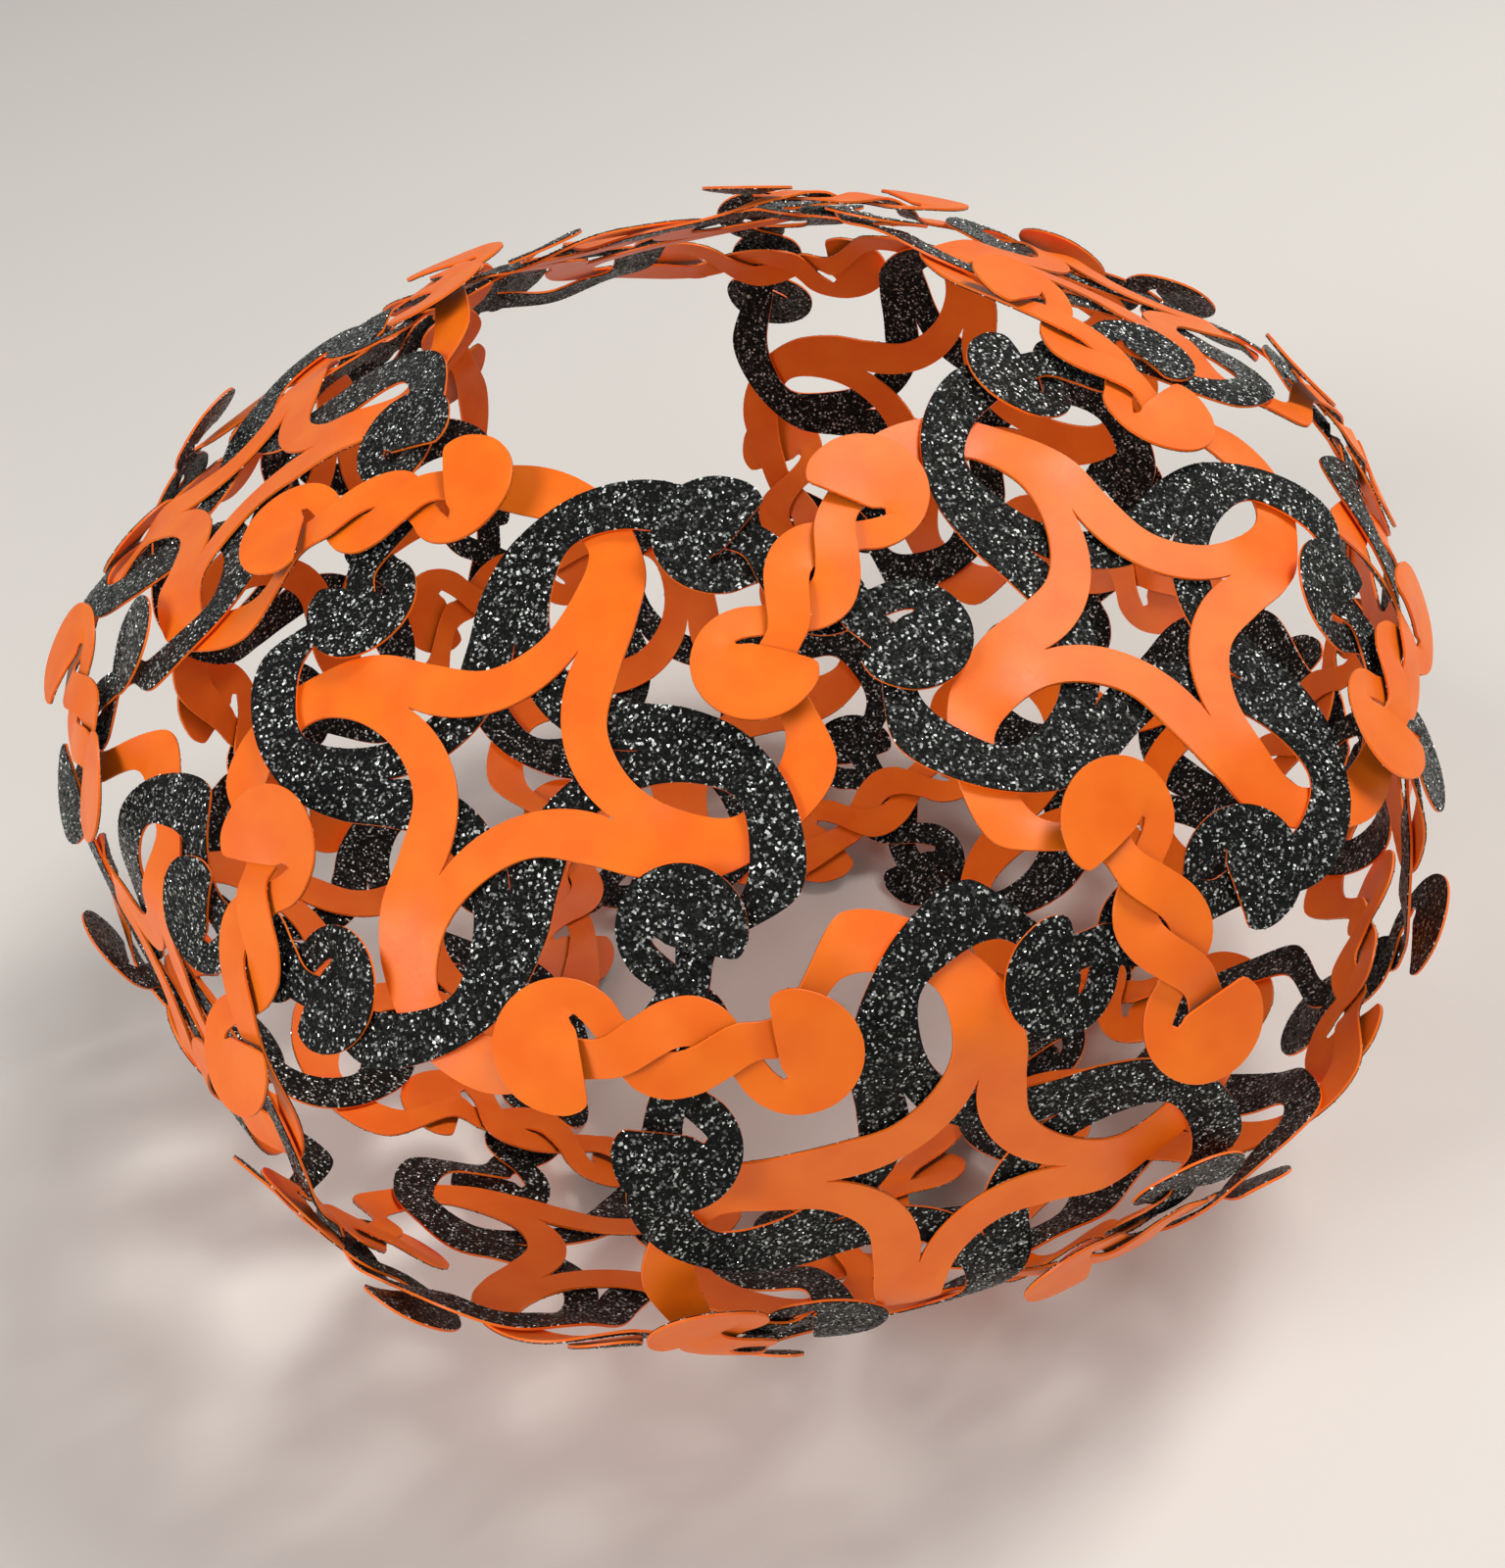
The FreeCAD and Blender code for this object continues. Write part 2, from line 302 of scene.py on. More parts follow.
class Skeleton:
    """Planes of the fifteen modules and the bends between them."""

    def __init__(self, size):
        self.size = size
        half = size.corner_reach / sqrt(2)
        lean = (1 / tan(radians(FIFTH / 4)) - 1 / tan(radians(FIFTH / 2))) / 2
        self.tilt = asin(lean)
        self.top_radius = half * (1 / tan(radians(FIFTH / 2)) + lean)
        self.top_height = half * (1 + cos(self.tilt))
        self.middle_radius = half / tan(radians(FIFTH / 4))

    def normal(self, level, azimuth):
        """Outward normal of a module's plane; level is 1, 0 or -1."""
        lift = self.tilt if level else 0.0
        x, y = polar(cos(lift), azimuth)
        return Vector((x, y, level * sin(lift)))

    def axes(self, level):
        """Centre, outward normal, east and north of a module's plane."""
        own = self.normal(level, 0)
        east = Vector((0, 1, 0))
        if level:
            centre = Vector((self.top_radius, 0, self.top_height))
        else:
            centre = Vector((self.middle_radius, 0, 0))
        return centre, own, east, own.cross(east)

    def neighbours(self, level):
        """Level and azimuth of the modules at the four corners, anticlockwise."""
        if level:
            return ((1, FIFTH), (1, -FIFTH), (0, -FIFTH / 2), (0, FIFTH / 2))
        return ((1, FIFTH / 2), (1, -FIFTH / 2), (-1, -FIFTH / 2), (-1, FIFTH / 2))

    def partner(self, level, corner):
        """Level and corner by which the next module meets this corner."""
        if level:
            return ((1, 1), (1, 0), (0, 0), (0, 1))[corner]
        return ((1, 2), (1, 3), (1, 2), (1, 3))[corner]

    def bend(self, level, corner):
        """Bend at one corner: direction, skew, tangent line, radius, half angle."""
        centre, own, east, north = self.axes(level)
        other = self.normal(*self.neighbours(level)[corner])
        fold = own.cross(other)
        angle = degrees(atan2(fold.dot(north), fold.dot(east))) - 90
        toward = LINK_ANGLES[corner]
        skew = (toward - angle + 90) % 180 - 90
        half_angle = acos(own.dot(other)) / 2
        radius = self.size.bend_half_length / half_angle
        start = self.size.corner_reach * cos(radians(skew)) - radius * tan(half_angle)
        return toward - skew, skew, start, radius, half_angle

    def hook_frame(self, level, corner, hand):
        """Flat centre and turn of the hook at one corner of a module."""
        angle, skew, start, radius, half_angle = self.bend(level, corner)
        other_skew = self.bend(*self.partner(level, corner))[1]
        x, y = polar(start + radius * half_angle, angle)
        dx, dy = polar(self.size.corner_reach * sin(radians(skew)), angle + 90)
        return (x + dx, y + dy), angle + (skew + other_skew) / 2 + hand * HOOK_TURN

    def place(self, level, flat, height, corner, share):
        """Bent positions of flat points at their heights.

        A point follows the bend of its own corner in full, and the others by its share."""
        centre, own, east, north = (np.array(v) for v in self.axes(level))
        base = centre + np.outer(flat[:, 0], east) + np.outer(flat[:, 1], north)
        up = np.tile(own, (len(flat), 1))
        for k in range(len(LINK_ANGLES)):
            angle, skew, start, radius, half_angle = self.bend(level, k)
            bx, by = polar(1, angle)
            past = np.maximum(flat[:, 0] * bx + flat[:, 1] * by - start, 0)
            turn = np.minimum(past / radius, half_angle + self.size.bend_past / radius)
            rest = past - turn * radius
            part = np.where(corner == k, 1.0, share)
            forward = bx * east + by * north
            s, c = np.sin(turn), np.cos(turn)
            base += np.outer(part * (radius * s + rest * c - past), forward)
            base -= np.outer(part * (radius * (1 - c) + rest * s), own)
            up += np.outer(part * s, forward) - np.outer(part * (1 - c), own)
        up /= np.linalg.norm(up, axis=1)[:, None]
        return base + up * height[:, None]


def layer_heights(size, colour):
    """Heights of a colour's named layers over the module's plane."""
    step = size.card_thickness + size.layer_clearance
    layers = LAYERS[colour]
    low = layers["hook"] * step + COLOURS[colour] * size.pair_clearance
    return {
        "star": layers["star"] * step,
        "crossing": layers["crossing"] * step,
        "low": low,
        "middle": low + step / 2,
        "high": low + step,
        "rise": low + step + size.head_lift / 2,
        "lobe": low + step + size.head_lift,
    }


def arm_edge(skeleton, level, colour, quarter):
    """Edge of one arm as three runs: out to its head, round the head, and back.

    A row is a flat point's x and y, its height and its share of the other corners'
    bends, which is all of them in the star and nothing in the hook."""
    size = skeleton.size
    hand = COLOURS[colour]
    heights = layer_heights(size, colour)
    tip = radians(LINK_ANGLES[quarter]) - hand * size.tip_turn
    origin, turn = skeleton.hook_frame(level, quarter, hand)
    frames = {"star": ((0, 0), tip), "hook": (origin, radians(turn))}

    def flat(frame_name, x, y, height):
        (ox, oy), angle = frames[frame_name]
        c, s = cos(angle), sin(angle)
        share = 1.0 if frame_name == "star" else 0.0
        return ox + c * x - s * y * hand, oy + s * x + c * y * hand, height, share

    def listed(points):
        return [flat(name, x * MM, y * MM, heights[layer]) for name, x, y, layer in points]

    rim = []
    for angle, rise, lift in RIM:
        x, y = polar(size.head_radius, angle)
        height = heights["low"] + rise * (heights["high"] - heights["low"])
        height += lift * size.head_lift
        rim.append(flat("hook", size.head_reach + x, y, height))
    return listed(EDGE_OUT) + rim[:1], rim + listed(SLIT_EDGE), listed(EDGE_BACK)


def smooth_run(points, step):
    """Rows at even steps on a smooth curve through the given rows, up to the last."""
    p = np.array(points, float)
    p = np.vstack([2 * p[0] - p[1], p, 2 * p[-1] - p[-2]])
    out = []
    for a, b, c, d in zip(p, p[1:], p[2:], p[3:]):
        knots = [0.0]
        for q, r in ((a, b), (b, c), (c, d)):
            chord = max(np.linalg.norm((r - q)[:2]), MERGE_DISTANCE)
            knots.append(knots[-1] + chord ** CHORD_POWER)
        t0, t1, t2, t3 = knots
        count = max(1, round(np.linalg.norm((c - b)[:2]) / step))
        for t in np.linspace(t1, t2, count, endpoint=False):
            ab = (t1 - t) / (t1 - t0) * a + (t - t0) / (t1 - t0) * b
            bc = (t2 - t) / (t2 - t1) * b + (t - t1) / (t2 - t1) * c
            cd = (t3 - t) / (t3 - t2) * c + (t - t2) / (t3 - t2) * d
            abc = (t2 - t) / (t2 - t0) * ab + (t - t0) / (t2 - t0) * bc
            bcd = (t3 - t) / (t3 - t1) * bc + (t - t1) / (t3 - t1) * cd
            out.append((t2 - t) / (t2 - t1) * abc + (t - t1) / (t2 - t1) * bcd)
    return out


def outer_loop(skeleton, level, colour):
    """Closed outer edge of a piece as rows of an arm's edge, and each row's corner."""
    hand = COLOURS[colour]
    points, quarters = [], []
    for index in range(len(LINK_ANGLES)):
        quarter = (index * hand) % len(LINK_ANGLES)
        following = (quarter + hand) % len(LINK_ANGLES)
        out_run, head, back = arm_edge(skeleton, level, colour, quarter)
        next_run = arm_edge(skeleton, level, colour, following)[0]
        head_points = smooth_run(head + back[:1], EDGE_STEP)
        arm_points = smooth_run(back + next_run, EDGE_STEP)
        split = len(smooth_run(back + next_run[:1], EDGE_STEP))
        points += head_points + arm_points
        quarters += [quarter] * (len(head_points) + split)
        quarters += [following] * (len(arm_points) - split)
    return np.array(points), np.array(quarters)


def opening_loop(size, colour):
    """Closed edge of the star opening, as flat points."""
    reach = size.opening_radius
    hand = COLOURS[colour]
    span = 90 - 2 * OPENING_BLUNT
    points = []
    for toward in LINK_ANGLES:
        tip = radians(toward) - hand * size.tip_turn
        for i in range(OPENING_STEPS + 1):
            x, y = polar(reach, 270 - OPENING_BLUNT - span * i / OPENING_STEPS)
            x, y = x + reach, y + reach
            points.append((x * cos(tip) - y * sin(tip), x * sin(tip) + y * cos(tip)))
    return np.array(points)


def inside(points, loop):
    """Which flat points lie within a closed loop."""
    x, y = points[:, 0][:, None], points[:, 1][:, None]
    x0, y0 = loop[:, 0], loop[:, 1]
    x1, y1 = np.roll(x0, -1), np.roll(y0, -1)
    rises = (y0 > y) != (y1 > y)
    with np.errstate(divide="ignore", invalid="ignore"):
        cut = x0 + (y - y0) * (x1 - x0) / (y1 - y0)
    return (rises & (x < cut)).sum(axis=1) % 2 == 1


def relaxed(values, fixed, triangles):
    """Values spread from the fixed points over the mesh, as a stretched film."""
    ends = np.vstack([triangles[:, (0, 1)], triangles[:, (1, 2)], triangles[:, (2, 0)]])
    ends = np.vstack([ends, ends[:, ::-1]])
    degree = np.bincount(ends[:, 0], minlength=len(values))
    for _ in range(RELAX_ROUNDS):
        total = np.bincount(ends[:, 0], weights=values[ends[:, 1]], minlength=len(values))
        values = np.where(fixed, values, total / degree)
    return values


def inner_points(rim, hole):
    """Flat points of an even grid on the card, clear of its edges."""
    row = INNER_STEP * sqrt(3) / 2
    low, high = rim.min(axis=0), rim.max(axis=0)
    grid = []
    for j, y in enumerate(np.arange(low[1], high[1], row)):
        for x in np.arange(low[0] + (j % 2) * INNER_STEP / 2, high[0], INNER_STEP):
            grid.append((x, y))
    grid = np.array(grid)
    edge = np.vstack([rim, hole])
    grid = grid[inside(grid, rim) & ~inside(grid, hole)]
    gap = np.linalg.norm(grid[:, None] - edge[None], axis=2).min(axis=1)
    return grid[gap > INNER_MARGIN * INNER_STEP]


def card_triangles(flat, rim, hole):
    """Triangles of the card between its flat points, rim first and then the hole."""
    count, total = len(rim), len(rim) + len(hole)
    loops = [(i, (i + 1) % count) for i in range(count)]
    loops += [(i, i + 1 if i + 1 < total else count) for i in range(count, total)]
    found = delaunay_2d_cdt([Vector(p) for p in flat], loops, [], 0, MERGE_DISTANCE)
    origin = [ids[0] for ids in found[3]]
    triangles = np.array([[origin[v] for v in face] for face in found[2]])
    middle = flat[triangles].mean(axis=1)
    triangles = triangles[inside(middle, rim) & ~inside(middle, hole)]
    a, b, c = (flat[triangles[:, i]] for i in range(3))
    area = (b - a)[:, 0] * (c - a)[:, 1] - (b - a)[:, 1] * (c - a)[:, 0]
    triangles[area < 0] = triangles[area < 0][:, ::-1]
    return triangles


def card_sheet(skeleton, level, colour):
    """Inner face of one bent card piece as an open mesh that faces outwards."""
    size = skeleton.size
    edge, edge_quarters = outer_loop(skeleton, level, colour)
    count = len(edge)
    rim, hole = edge[:, :2], opening_loop(size, colour)
    flat = np.vstack([rim, hole, inner_points(rim, hole)])
    triangles = card_triangles(flat, rim, hole)
    heights = np.full(len(flat), layer_heights(size, colour)["star"])
    shares = np.ones(len(flat))
    heights[:count] = edge[:, 2]
    shares[:count] = edge[:, 3].clip(0, 1)
    fixed = np.arange(len(flat)) < count + len(hole)
    heights = relaxed(heights, fixed, triangles)
    shares = relaxed(shares, fixed, triangles)
    near = np.linalg.norm(flat[:, None] - rim[None], axis=2).argmin(axis=1)
    quarters = edge_quarters[near]
    quarters[:count] = edge_quarters
    below = heights - size.card_thickness / 2
    places = skeleton.place(level, flat, below, quarters, shares)
    used = np.unique(triangles)
    renumber = np.zeros(len(flat), int)
    renumber[used] = np.arange(len(used))
    mesh = bpy.data.meshes.new("card_sheet_%s_%d" % (colour, level))
    mesh.from_pydata(places[used].tolist(), [], renumber[triangles].tolist())
    mesh.validate()
    return mesh


def add_node(tree, kind, values=None, **settings):
    """Node of a kind with its settings and unlinked input values."""
    node = tree.nodes.new(kind)
    for name, value in settings.items():
        setattr(node, name, value)
    for name, value in (values or {}).items():
        node.inputs[name].default_value = value
    return node


def new_geometry_tree(name, inputs):
    """Geometry node tree with named inputs, its group input and output."""
    tree = bpy.data.node_groups.new(name, "GeometryNodeTree")
    face = tree.interface
    face.new_socket("Geometry", in_out="INPUT", socket_type="NodeSocketGeometry")
    face.new_socket("Geometry", in_out="OUTPUT", socket_type="NodeSocketGeometry")
    for label, kind in inputs:
        face.new_socket(label, in_out="INPUT", socket_type=kind)
    return tree, add_node(tree, "NodeGroupInput"), add_node(tree, "NodeGroupOutput")


def plies_tree():
    """Tree that gives an open sheet its two plies, each with its own material."""
    tree, given, result = new_geometry_tree("card_plies", (
        ("Inner ply", "NodeSocketFloat"), ("Outer ply", "NodeSocketFloat"),
        ("Inner material", "NodeSocketMaterial"), ("Outer material", "NodeSocketMaterial")))
    link = tree.links.new
    flip = add_node(tree, "GeometryNodeFlipFaces")
    back = add_node(tree, "GeometryNodeSetMaterial")
    inner = add_node(tree, "GeometryNodeExtrudeMesh", {"Individual": False})
    inner_side = add_node(tree, "GeometryNodeSetMaterial")
    outer = add_node(tree, "GeometryNodeExtrudeMesh", {"Individual": False})
    shown = add_node(tree, "FunctionNodeBooleanMath", operation="OR")
    outer_faces = add_node(tree, "GeometryNodeSetMaterial")
    join = add_node(tree, "GeometryNodeJoinGeometry")
    merge = add_node(tree, "GeometryNodeMergeByDistance", {"Distance": MERGE_DISTANCE})
    link(given.outputs["Geometry"], flip.inputs["Mesh"])
    link(flip.outputs["Mesh"], back.inputs["Geometry"])
    link(given.outputs["Inner material"], back.inputs["Material"])
    link(given.outputs["Geometry"], inner.inputs["Mesh"])
    link(given.outputs["Inner ply"], inner.inputs["Offset Scale"])
    link(inner.outputs["Mesh"], inner_side.inputs["Geometry"])
    link(inner.outputs["Side"], inner_side.inputs["Selection"])
    link(given.outputs["Inner material"], inner_side.inputs["Material"])
    link(inner_side.outputs["Geometry"], outer.inputs["Mesh"])
    link(inner.outputs["Top"], outer.inputs["Selection"])
    link(given.outputs["Outer ply"], outer.inputs["Offset Scale"])
    link(outer.outputs["Top"], shown.inputs[0])
    link(outer.outputs["Side"], shown.inputs[1])
    link(outer.outputs["Mesh"], outer_faces.inputs["Geometry"])
    link(shown.outputs["Boolean"], outer_faces.inputs["Selection"])
    link(given.outputs["Outer material"], outer_faces.inputs["Material"])
    link(outer_faces.outputs["Geometry"], join.inputs["Geometry"])
    link(back.outputs["Geometry"], join.inputs["Geometry"])
    link(join.outputs["Geometry"], merge.inputs["Geometry"])
    link(merge.outputs["Geometry"], result.inputs["Geometry"])
    return tree


def grains_tree():
    """Tree that sets small closed grains on the faces of the glitter ply."""
    tree, given, result = new_geometry_tree("glitter_grains", (
        ("Glitter ply", "NodeSocketMaterial"), ("Grain material", "NodeSocketMaterial"),
        ("Density", "NodeSocketFloat"), ("Grain size", "NodeSocketFloat"),
        ("Seed", "NodeSocketInt")))
    link = tree.links.new
    ply = add_node(tree, "GeometryNodeMaterialSelection")
    scatter = add_node(tree, "GeometryNodeDistributePointsOnFaces")
    grain = add_node(tree, "GeometryNodeMeshCone", {
        "Vertices": GRAIN_SIDES, "Radius Top": 0.0, "Radius Bottom": GRAIN_RADIUS,
        "Depth": GRAIN_DEPTH}, fill_type="NGON")
    # A random value's sockets share their names, so they are picked by number.
    spin = add_node(tree, "FunctionNodeRandomValue", data_type="FLOAT_VECTOR")
    spin.inputs[0].default_value = (-GRAIN_LEAN, -GRAIN_LEAN, -GRAIN_TURN)
    spin.inputs[1].default_value = (GRAIN_LEAN, GRAIN_LEAN, GRAIN_TURN)
    turn = add_node(tree, "FunctionNodeRotateRotation", rotation_space="LOCAL")
    vary = add_node(tree, "FunctionNodeRandomValue", data_type="FLOAT")
    vary.inputs[2].default_value, vary.inputs[3].default_value = GRAIN_SCALES
    scale = add_node(tree, "ShaderNodeMath", operation="MULTIPLY")
    put = add_node(tree, "GeometryNodeInstanceOnPoints")
    real = add_node(tree, "GeometryNodeRealizeInstances")
    foil = add_node(tree, "GeometryNodeSetMaterial")
    join = add_node(tree, "GeometryNodeJoinGeometry")
    link(given.outputs["Geometry"], scatter.inputs["Mesh"])
    link(given.outputs["Glitter ply"], ply.inputs["Material"])
    link(ply.outputs["Selection"], scatter.inputs["Selection"])
    link(given.outputs["Density"], scatter.inputs["Density"])
    link(given.outputs["Seed"], scatter.inputs["Seed"])
    link(given.outputs["Seed"], spin.inputs["Seed"])
    link(given.outputs["Seed"], vary.inputs["Seed"])
    link(scatter.outputs["Rotation"], turn.inputs["Rotation"])
    link(spin.outputs[0], turn.inputs["Rotate By"])
    link(vary.outputs[1], scale.inputs[0])
    link(given.outputs["Grain size"], scale.inputs[1])
    link(scatter.outputs["Points"], put.inputs["Points"])
    link(grain.outputs["Mesh"], put.inputs["Instance"])
    link(turn.outputs["Rotation"], put.inputs["Rotation"])
    link(scale.outputs[0], put.inputs["Scale"])
    link(put.outputs["Instances"], real.inputs["Geometry"])
    link(real.outputs["Geometry"], foil.inputs["Geometry"])
    link(given.outputs["Grain material"], foil.inputs["Material"])
    link(given.outputs["Geometry"], join.inputs["Geometry"])
    link(foil.outputs["Geometry"], join.inputs["Geometry"])
    link(join.outputs["Geometry"], result.inputs["Geometry"])
    return tree


def node_modifier(item, tree, inputs):
    """Geometry nodes modifier with its inputs set by their labels."""
    modifier = item.modifiers.new(tree.name, "NODES")
    modifier.node_group = tree
    sockets = {s.name: s.identifier for s in tree.interface.items_tree
               if s.in_out == "INPUT"}
    for label, value in inputs.items():
        modifier[sockets[label]] = value


def new_shader_group(name, inputs, outputs):
    """Shader node group with named float or vector sockets."""
    tree = bpy.data.node_groups.new(name, "ShaderNodeTree")
    for label, kind in inputs:
        tree.interface.new_socket(label, in_out="INPUT", socket_type=kind)
    for label, kind in outputs:
        tree.interface.new_socket(label, in_out="OUTPUT", socket_type=kind)
    return tree, add_node(tree, "NodeGroupInput"), add_node(tree, "NodeGroupOutput")


def fibre_group():
    """Grain of pressed card: soft patches and short fibres."""
    tree, given, result = new_shader_group(
        "card_fibre",
        (("Patch scale", "NodeSocketFloat"), ("Fibre scale", "NodeSocketFloat")),
        (("Patches", "NodeSocketFloat"), ("Fibres", "NodeSocketFloat")))
    link = tree.links.new
    where = add_node(tree, "ShaderNodeTexCoord")
    patches = add_node(tree, "ShaderNodeTexNoise", {"Detail": 2.0, "Roughness": 0.5})
    fibres = add_node(tree, "ShaderNodeTexNoise", {"Detail": 4.0, "Roughness": 0.65,
                                                   "Distortion": 1.2})
    link(where.outputs["Object"], patches.inputs["Vector"])
    link(where.outputs["Object"], fibres.inputs["Vector"])
    link(given.outputs["Patch scale"], patches.inputs["Scale"])
    link(given.outputs["Fibre scale"], fibres.inputs["Scale"])
    link(patches.outputs["Fac"], result.inputs["Patches"])
    link(fibres.outputs["Fac"], result.inputs["Fibres"])
    return tree


def glitter_group():
    """Cells of glitter: a random number for each and a tilted normal."""
    tree, given, result = new_shader_group(
        "glitter_cells", (("Scale", "NodeSocketFloat"), ("Tilt", "NodeSocketFloat")),
        (("Chance", "NodeSocketFloat"), ("Normal", "NodeSocketVector")))
    link = tree.links.new
    where = add_node(tree, "ShaderNodeTexCoord")
    cells = add_node(tree, "ShaderNodeTexVoronoi", {"Randomness": 1.0})
    surface = add_node(tree, "ShaderNodeNewGeometry")
    centred = add_node(tree, "ShaderNodeVectorMath", operation="SUBTRACT")
    centred.inputs[1].default_value = (0.5, 0.5, 0.5)
    tilted = add_node(tree, "ShaderNodeVectorMath", operation="SCALE")
    summed = add_node(tree, "ShaderNodeVectorMath", operation="ADD")
    unit = add_node(tree, "ShaderNodeVectorMath", operation="NORMALIZE")
    parts = add_node(tree, "ShaderNodeSeparateColor")
    link(where.outputs["Object"], cells.inputs["Vector"])
    link(given.outputs["Scale"], cells.inputs["Scale"])
    link(cells.outputs["Color"], centred.inputs[0])
    link(centred.outputs[0], tilted.inputs[0])
    link(given.outputs["Tilt"], tilted.inputs["Scale"])
    link(surface.outputs["Normal"], summed.inputs[0])
    link(tilted.outputs[0], summed.inputs[1])
    link(summed.outputs[0], unit.inputs[0])
    link(cells.outputs["Color"], parts.inputs[0])
    link(parts.outputs[0], result.inputs["Chance"])
    link(unit.outputs[0], result.inputs["Normal"])
    return tree


def new_material(name):
    """Material with an empty node tree, its shader and output."""
    material = bpy.data.materials.new(name)
    material.use_nodes = True
    tree = material.node_tree
    tree.nodes.clear()
    shader = add_node(tree, "ShaderNodeBsdfPrincipled")
    output = add_node(tree, "ShaderNodeOutputMaterial")
    tree.links.new(shader.outputs[0], output.inputs["Surface"])
    return material, tree, shader


def place_group(tree, group, values):
    """Shader group placed in a material with its values."""
    node = add_node(tree, "ShaderNodeGroup", node_tree=group)
    for name, value in values.items():
        node.inputs[name].default_value = value
    return node


def mapped(tree, source, given, wanted):
    """Value of a socket taken from the given range to the wanted one."""
    node = add_node(tree, "ShaderNodeMapRange", {
        "From Min": given[0], "From Max": given[1],
        "To Min": wanted[0], "To Max": wanted[1]})
    tree.links.new(source, node.inputs["Value"])
    return node.outputs["Result"]


def sparse(tree, chance, flakes):
    """Mask that is nought up to a chance and then rises, slowly at first."""
    start, power = flakes
    node = add_node(tree, "ShaderNodeMath", operation="POWER")
    node.inputs[1].default_value = power
    tree.links.new(mapped(tree, chance, (start, 1.0), FULL_RANGE), node.inputs[0])
    return node.outputs[0]


def mixed_colour(tree, factor, first, second):
    """Colour between two fixed colours by a mask."""
    node = add_node(tree, "ShaderNodeMix", data_type="RGBA")
    node.inputs[6].default_value = (*first, 1)
    node.inputs[7].default_value = (*second, 1)
    tree.links.new(factor, node.inputs[0])
    return node.outputs[2]


def orange_card(finish, fibre):
    """Smooth satin orange card with a faint fibre."""
    material, tree, shader = new_material("orange_card")
    grain = place_group(tree, fibre, ORANGE_SCALES)
    patch = mapped(tree, grain.outputs["Patches"], PATCH_RANGE, FULL_RANGE)
    rough = mapped(tree, grain.outputs["Fibres"], FIBRE_RANGE, ORANGE_ROUGHNESS)
    bump = add_node(tree, "ShaderNodeBump", {"Strength": 0.35, "Distance": 0.012 * MM})
    link = tree.links.new
    link(mixed_colour(tree, patch, finish.orange, finish.orange_pale),
         shader.inputs["Base Color"])
    link(rough, shader.inputs["Roughness"])
    link(grain.outputs["Fibres"], bump.inputs["Height"])
    link(bump.outputs["Normal"], shader.inputs["Normal"])
    shader.inputs["Specular IOR Level"].default_value = ORANGE_SPECULAR
    return material


def black_glitter(finish, fibre, cells):
    """Black ply with fine glitter bonded into it."""
    material, tree, shader = new_material("black_glitter_card")
    fine = place_group(tree, cells, BLACK_CELLS)
    grain = place_group(tree, fibre, BLACK_SCALES)
    bright = sparse(tree, fine.outputs["Chance"], BLACK_FLAKES)
    rough = mapped(tree, fine.outputs["Chance"], FULL_RANGE, BLACK_ROUGHNESS)
    bump = add_node(tree, "ShaderNodeBump", {"Strength": 0.6, "Distance": 0.05 * MM})
    link = tree.links.new
    link(mixed_colour(tree, bright, finish.black, finish.flake),
         shader.inputs["Base Color"])
    link(bright, shader.inputs["Metallic"])
    link(rough, shader.inputs["Roughness"])
    link(grain.outputs["Fibres"], bump.inputs["Height"])
    link(fine.outputs["Normal"], bump.inputs["Normal"])
    link(bump.outputs["Normal"], shader.inputs["Normal"])
    shader.inputs["Specular IOR Level"].default_value = BLACK_SPECULAR
    return material


def glitter_foil(finish, cells):
    """Foil of the raised glitter grains, dark and bright by turns."""
    material, tree, shader = new_material("glitter_foil")
    fine = place_group(tree, cells, FOIL_CELLS)
    bright = sparse(tree, fine.outputs["Chance"], FOIL_FLAKES)
    link = tree.links.new
    link(mixed_colour(tree, bright, FOIL_DARK, finish.flake), shader.inputs["Base Color"])
    link(mapped(tree, fine.outputs["Chance"], FULL_RANGE, FOIL_ROUGHNESS),
         shader.inputs["Roughness"])
    shader.inputs["Metallic"].default_value = 1.0
    return material


class Workshop:
    """Trees, materials and bent sheets, each made once."""

    def __init__(self, scene):
        self.size = scene.kusudama_sizes
        self.finish = scene.kusudama_finish
        self.skeleton = Skeleton(self.size)
        self.plies = plies_tree()
        self.grains = grains_tree()
        fibre, cells = fibre_group(), glitter_group()
        self.orange = orange_card(self.finish, fibre)
        self.black = black_glitter(self.finish, fibre, cells)
        self.foil = glitter_foil(self.finish, cells)
        self.sheets = {}

    def sheet(self, level, colour):
        """Sheet of a colour for the middle ring, level 0, or another, level 1."""
        if (level, colour) not in self.sheets:
            self.sheets[level, colour] = card_sheet(self.skeleton, level, colour)
        return self.sheets[level, colour]


shop = {}


def workshop(context):
    """The one workshop of this run."""
    if "made" not in shop:
        shop["made"] = Workshop(context.scene)
    return shop["made"]


def spot(ring, number):
    """Turn that takes a sheet to a module's place in a ring."""
    azimuth = radians(FIFTH * (number - 1))
    if ring == "middle":
        return Matrix.Rotation(azimuth + radians(FIFTH / 2), 4, "Z")
    turn = Matrix.Rotation(azimuth, 4, "Z")
    if ring == "bottom":
        return turn @ Matrix.Rotation(radians(180), 4, "X")
    return turn


